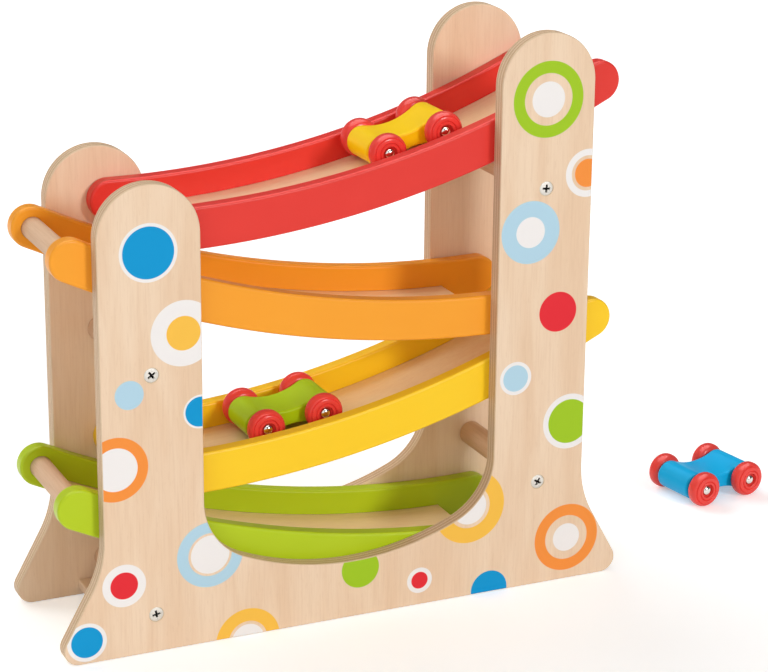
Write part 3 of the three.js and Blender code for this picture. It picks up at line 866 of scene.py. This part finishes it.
softened = [
    soften("front_panel", PANEL_ROUNDING, front_birch),
    soften("back_panel", PANEL_ROUNDING, back_birch),
    soften("foot_strip", PANEL_ROUNDING, strip_wood, all_edges=True),
]
for colour, paint in rail_paint.items():
    softened.append(soften(f"{colour}_front_rail", RAIL_ROUNDING, paint))
    softened.append(soften(f"{colour}_back_rail", RAIL_ROUNDING, paint))
    softened.append(soften(f"{colour}_floor", FLOOR_ROUNDING, floor_wood, all_edges=True))
for colour, paint in car_paint.items():
    axle = Vector(joints[f"{colour}_car_front_left_spin"]["axis"])
    softened.append(soften(f"{colour}_car_body", CAR_ROUNDING, paint, across=axle))
face_count = sum(len(piece.data.polygons) for piece in softened)
print("softened pieces:", len(softened), "with", face_count, "faces")

# %% [markdown]
# ## A lathe
#
# Wheels, pins, dowels and screws are round, and the wheels come from a lathe. Blender's Spin works like
# one: it sweeps a half outline round an axis. A ready-made cylinder has no place for detail, but an
# outline holds the round tread of a wheel, the ring cut in its face and the recess for its pin. One
# mesh serves all pieces of a kind.

# %% A lathe
TURNED_SIDES = 64
ARC_STEPS = 8
SEAM_REACH = 0.002 * MM


def arc(radius_mid, along_mid, radius, along, start, end):
    """Points of an ellipse's arc in a turned outline, from one angle in degrees to another."""
    points = []
    for step in range(ARC_STEPS + 1):
        angle = math.radians(start + (end - start) * step / ARC_STEPS)
        points.append((radius_mid + radius * math.cos(angle), along_mid + along * math.sin(angle)))
    return points


def turn(name, outline, closed=False):
    """Spins an outline of radius and length, in millimetres, about the Y axis."""
    mesh = bmesh.new()
    points = [mesh.verts.new((max(radius, 0.0) * MM, along * MM, 0.0)) for radius, along in outline]
    pairs = list(zip(points, points[1:]))
    if closed:
        pairs.append((points[-1], points[0]))
    edges = [mesh.edges.new(pair) for pair in pairs]
    bmesh.ops.spin(mesh, geom=points + edges, cent=(0, 0, 0), axis=(0, 1, 0), angle=math.tau,
                   steps=TURNED_SIDES, use_merge=True)
    bmesh.ops.remove_doubles(mesh, verts=mesh.verts, dist=SEAM_REACH)
    bmesh.ops.recalc_face_normals(mesh, faces=mesh.faces)
    made = bpy.data.meshes.new(name)
    mesh.to_mesh(made)
    mesh.free()
    made.shade_smooth()
    made.set_sharp_from_angle(angle=SHARP_ANGLE)
    return made


def facing(outward, place):
    """Puts a turned piece at a place with its +Y looking outward."""
    return Matrix.Translation(place) @ outward.to_track_quat("Y", "Z").to_matrix().to_4x4()


print("turned pieces have", TURNED_SIDES, "sides")

# %% [markdown]
# ## Wheels and pins
#
# A wheel is turned with a rounded tread, a fine notch and a ring cut in its outer face, and a recess
# for the domed head of the pin it runs on. The notch and the ring could be drawn as dark lines, but
# cut for real they catch the light as the wheel turns. The joints know where each wheel stands and
# which way its axle points, so they place both pieces.

# %% Wheels and pins
# millimetres and degrees
WHEEL_RADIUS, WHEEL_HALF, TREAD_ROUND = 10.75, 4.5, 3.8
NOTCH_ANGLES, NOTCH_DEPTH = (54, 60, 66), 0.5
BORE, HUB_RADIUS, HUB_DEPTH, HUB_EDGE = 1.8, 4.2, 2.2, 0.35
RING_RADIUS, RING_HALF, RING_DEPTH = 5.9, 0.45, 0.75
PIN_RADIUS, PIN_HEAD, PIN_RISE, PIN_LENGTH, PIN_GAP = 1.5, 3.2, 1.9, 16.5, 0.2

round_mid = WHEEL_RADIUS - TREAD_ROUND
along_mid = WHEEL_HALF - TREAD_ROUND
notch_round = TREAD_ROUND - NOTCH_DEPTH
wheel_mesh = turn("turned_wheel", [
    (BORE, -WHEEL_HALF),
    *arc(round_mid, -along_mid, TREAD_ROUND, TREAD_ROUND, -90, 0),
    *arc(round_mid, along_mid, TREAD_ROUND, TREAD_ROUND, 0, NOTCH_ANGLES[0]),
    arc(round_mid, along_mid, notch_round, notch_round, NOTCH_ANGLES[1], 90)[0],
    *arc(round_mid, along_mid, TREAD_ROUND, TREAD_ROUND, NOTCH_ANGLES[2], 90),
    (RING_RADIUS + RING_HALF, WHEEL_HALF),
    (RING_RADIUS, WHEEL_HALF - RING_DEPTH),
    (RING_RADIUS - RING_HALF, WHEEL_HALF),
    *arc(HUB_RADIUS + HUB_EDGE, WHEEL_HALF - HUB_EDGE, HUB_EDGE, HUB_EDGE, 90, 180),
    (HUB_RADIUS, WHEEL_HALF - HUB_DEPTH),
    (BORE, WHEEL_HALF - HUB_DEPTH),
], closed=True)
pin_mesh = turn("domed_pin", [
    (0, -PIN_LENGTH),
    (PIN_RADIUS, -PIN_LENGTH),
    (PIN_RADIUS, 0),
    *arc(0, 0, PIN_HEAD, PIN_RISE, 0, 90),
])
print("turned:", len(wheel_mesh.polygons), "faces on a wheel and", len(pin_mesh.polygons), "on a pin")

# %% Wheels and pins in place
pin_seat = (WHEEL_HALF - HUB_DEPTH + PIN_GAP) * MM
pinned = []
for name, joint in joints.items():
    if name.endswith("_spin"):
        corner = name.removesuffix("_spin")
        outward = Vector(joint["axis"]) * (1 if "_left" in corner else -1)
        centre = Vector(joint["pos_m"])
        show(wheel_mesh, f"{corner}_wheel", wheel_paint, facing(outward, centre))
        show(pin_mesh, f"{corner}_pin", nickel, facing(outward, centre + outward * pin_seat))
        pinned.append(corner)
print("wheels on their pins:", len(pinned))

# %% [markdown]
# ## Dowels
#
# Dowels are bought as round rods and sawn to length, and sandpaper breaks the edges of their ends. A
# cylinder with a bevel would do as well, but the lathe is already there. The stops across the ramps
# are one kind and the crossbars between the panels another, each as long and as thick as its node.

# %% Dowels
# millimetres
DOWEL_CHAMFER = 0.6


def dowel_outline(node):
    """Outline of a plain dowel as long and as thick as its node."""
    low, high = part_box(node)
    radius, half = (high.z - low.z) / 2 / MM, (high.y - low.y) / 2 / MM
    end, shoulder = radius - DOWEL_CHAMFER, half - DOWEL_CHAMFER
    return [(0, -half), (end, -half), (radius, -shoulder), (radius, shoulder), (end, half), (0, half)]


dowels = [name for name in nodes if name.endswith("_stop") or name.startswith("crossbar_")]
dowel_meshes = {}
for name in dowels:
    kind = "stop_dowel" if name.endswith("_stop") else "crossbar_dowel"
    if kind not in dowel_meshes:
        dowel_meshes[kind] = turn(kind, dowel_outline(name))
    low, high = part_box(name)
    show(dowel_meshes[kind], name, dowel_wood, Matrix.Translation((low + high) / 2))
print("dowels turned:", len(dowels), "of", len(dowel_meshes), "kinds")

# %% [markdown]
# ## Screws
#
# Countersunk wood screws hold the crossbars. The head has a slight crown, and the cross in it is
# pressed by a punch with tapered wings. The cross could be a dark mark, but a real recess is also
# right in a close view, so two wedge-shaped bars cut it with Boolean modifiers. Each screw is turned
# a little further than the one before, because nobody lines them up.

# %% A screw blank and the wings of the punch
# millimetres, but for the taper, which is a share
SCREW_LENGTH, SCREW_POINT, SCREW_SHANK, SCREW_NECK = 30.0, 5.0, 1.8, 0.2
SCREW_HEAD, SCREW_HEAD_HEIGHT, HEAD_CROWN, HEAD_RIM = 4.1, 2.2, 0.5, 0.1
CROSS_LENGTH, CROSS_WIDTH, CROSS_DEPTH, CROSS_TAPER = 6.2, 1.6, 1.9, 0.55

screw_mesh = turn("countersunk_screw", [
    (0, -SCREW_LENGTH),
    (SCREW_SHANK, SCREW_POINT - SCREW_LENGTH),
    (SCREW_SHANK, -SCREW_HEAD_HEIGHT - SCREW_NECK),
    (SCREW_HEAD, -HEAD_CROWN - HEAD_RIM),
    *arc(0, -HEAD_CROWN, SCREW_HEAD, HEAD_CROWN, 0, 90),
])


def cross_wing(long_x, long_z):
    """A bar that narrows towards its foot, for cutting one bar of the cross. Half of it stands proud."""
    size = Vector((long_x, 2 * CROSS_DEPTH, long_z)) * MM
    mesh = bmesh.new()
    for vertex in bmesh.ops.create_cube(mesh, size=1.0)["verts"]:
        taper = CROSS_TAPER if vertex.co.y < 0 else 1.0
        vertex.co = vertex.co * size * Vector((taper, 1.0, taper))
    made = bpy.data.meshes.new("cross_wing")
    mesh.to_mesh(made)
    mesh.free()
    return bpy.data.objects.new("cross_wing", made)


wings = [cross_wing(CROSS_LENGTH, CROSS_WIDTH), cross_wing(CROSS_WIDTH, CROSS_LENGTH)]
print("a blank of", len(screw_mesh.polygons), "faces and", len(wings), "wings")

# %% The cross in the head
blank = bpy.data.objects.new("screw_blank", screw_mesh)
scene.collection.objects.link(blank)
for wing in wings:
    scene.collection.objects.link(wing)
    cut = blank.modifiers.new("cross", "BOOLEAN")
    cut.object = wing
    cut.operation = "DIFFERENCE"
    cut.solver = "EXACT"
bpy.context.view_layer.update()
cut_blank = blank.evaluated_get(bpy.context.evaluated_depsgraph_get())
cross_screw = bpy.data.meshes.new_from_object(cut_blank)
cross_screw.name = "cross_head_screw"
cross_screw.set_sharp_from_angle(angle=SHARP_ANGLE)
for extra in (blank, *wings):
    bpy.data.objects.remove(extra)
print("a cross-head screw of", len(cross_screw.polygons), "faces")

# %% Screws in place
HEAD_LIFT = 0.3 * MM
DRIVEN_TURN = math.radians(25)

screws = [name for name in nodes if "_screw_" in name]
for count, name in enumerate(screws):
    low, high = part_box(name)
    middle = (low + high) / 2
    on_front = name.startswith("front_")
    outward = Vector((0, -1 if on_front else 1, 0))
    head = Vector((middle.x, low.y if on_front else high.y, middle.z)) + outward * HEAD_LIFT
    driven = Matrix.Rotation(count * DRIVEN_TURN, 4, "Y")
    show(cross_screw, name, zinc, facing(outward, head) @ driven)
print("screws driven:", len(screws))

# %% [markdown]
# ## Size and finish
#
# New pieces must not make the toy larger than the frame says it is. A glance at the picture would not
# show half a millimetre. The last line says that the scene is finished.

# %% Size and finish
print("scene finished")
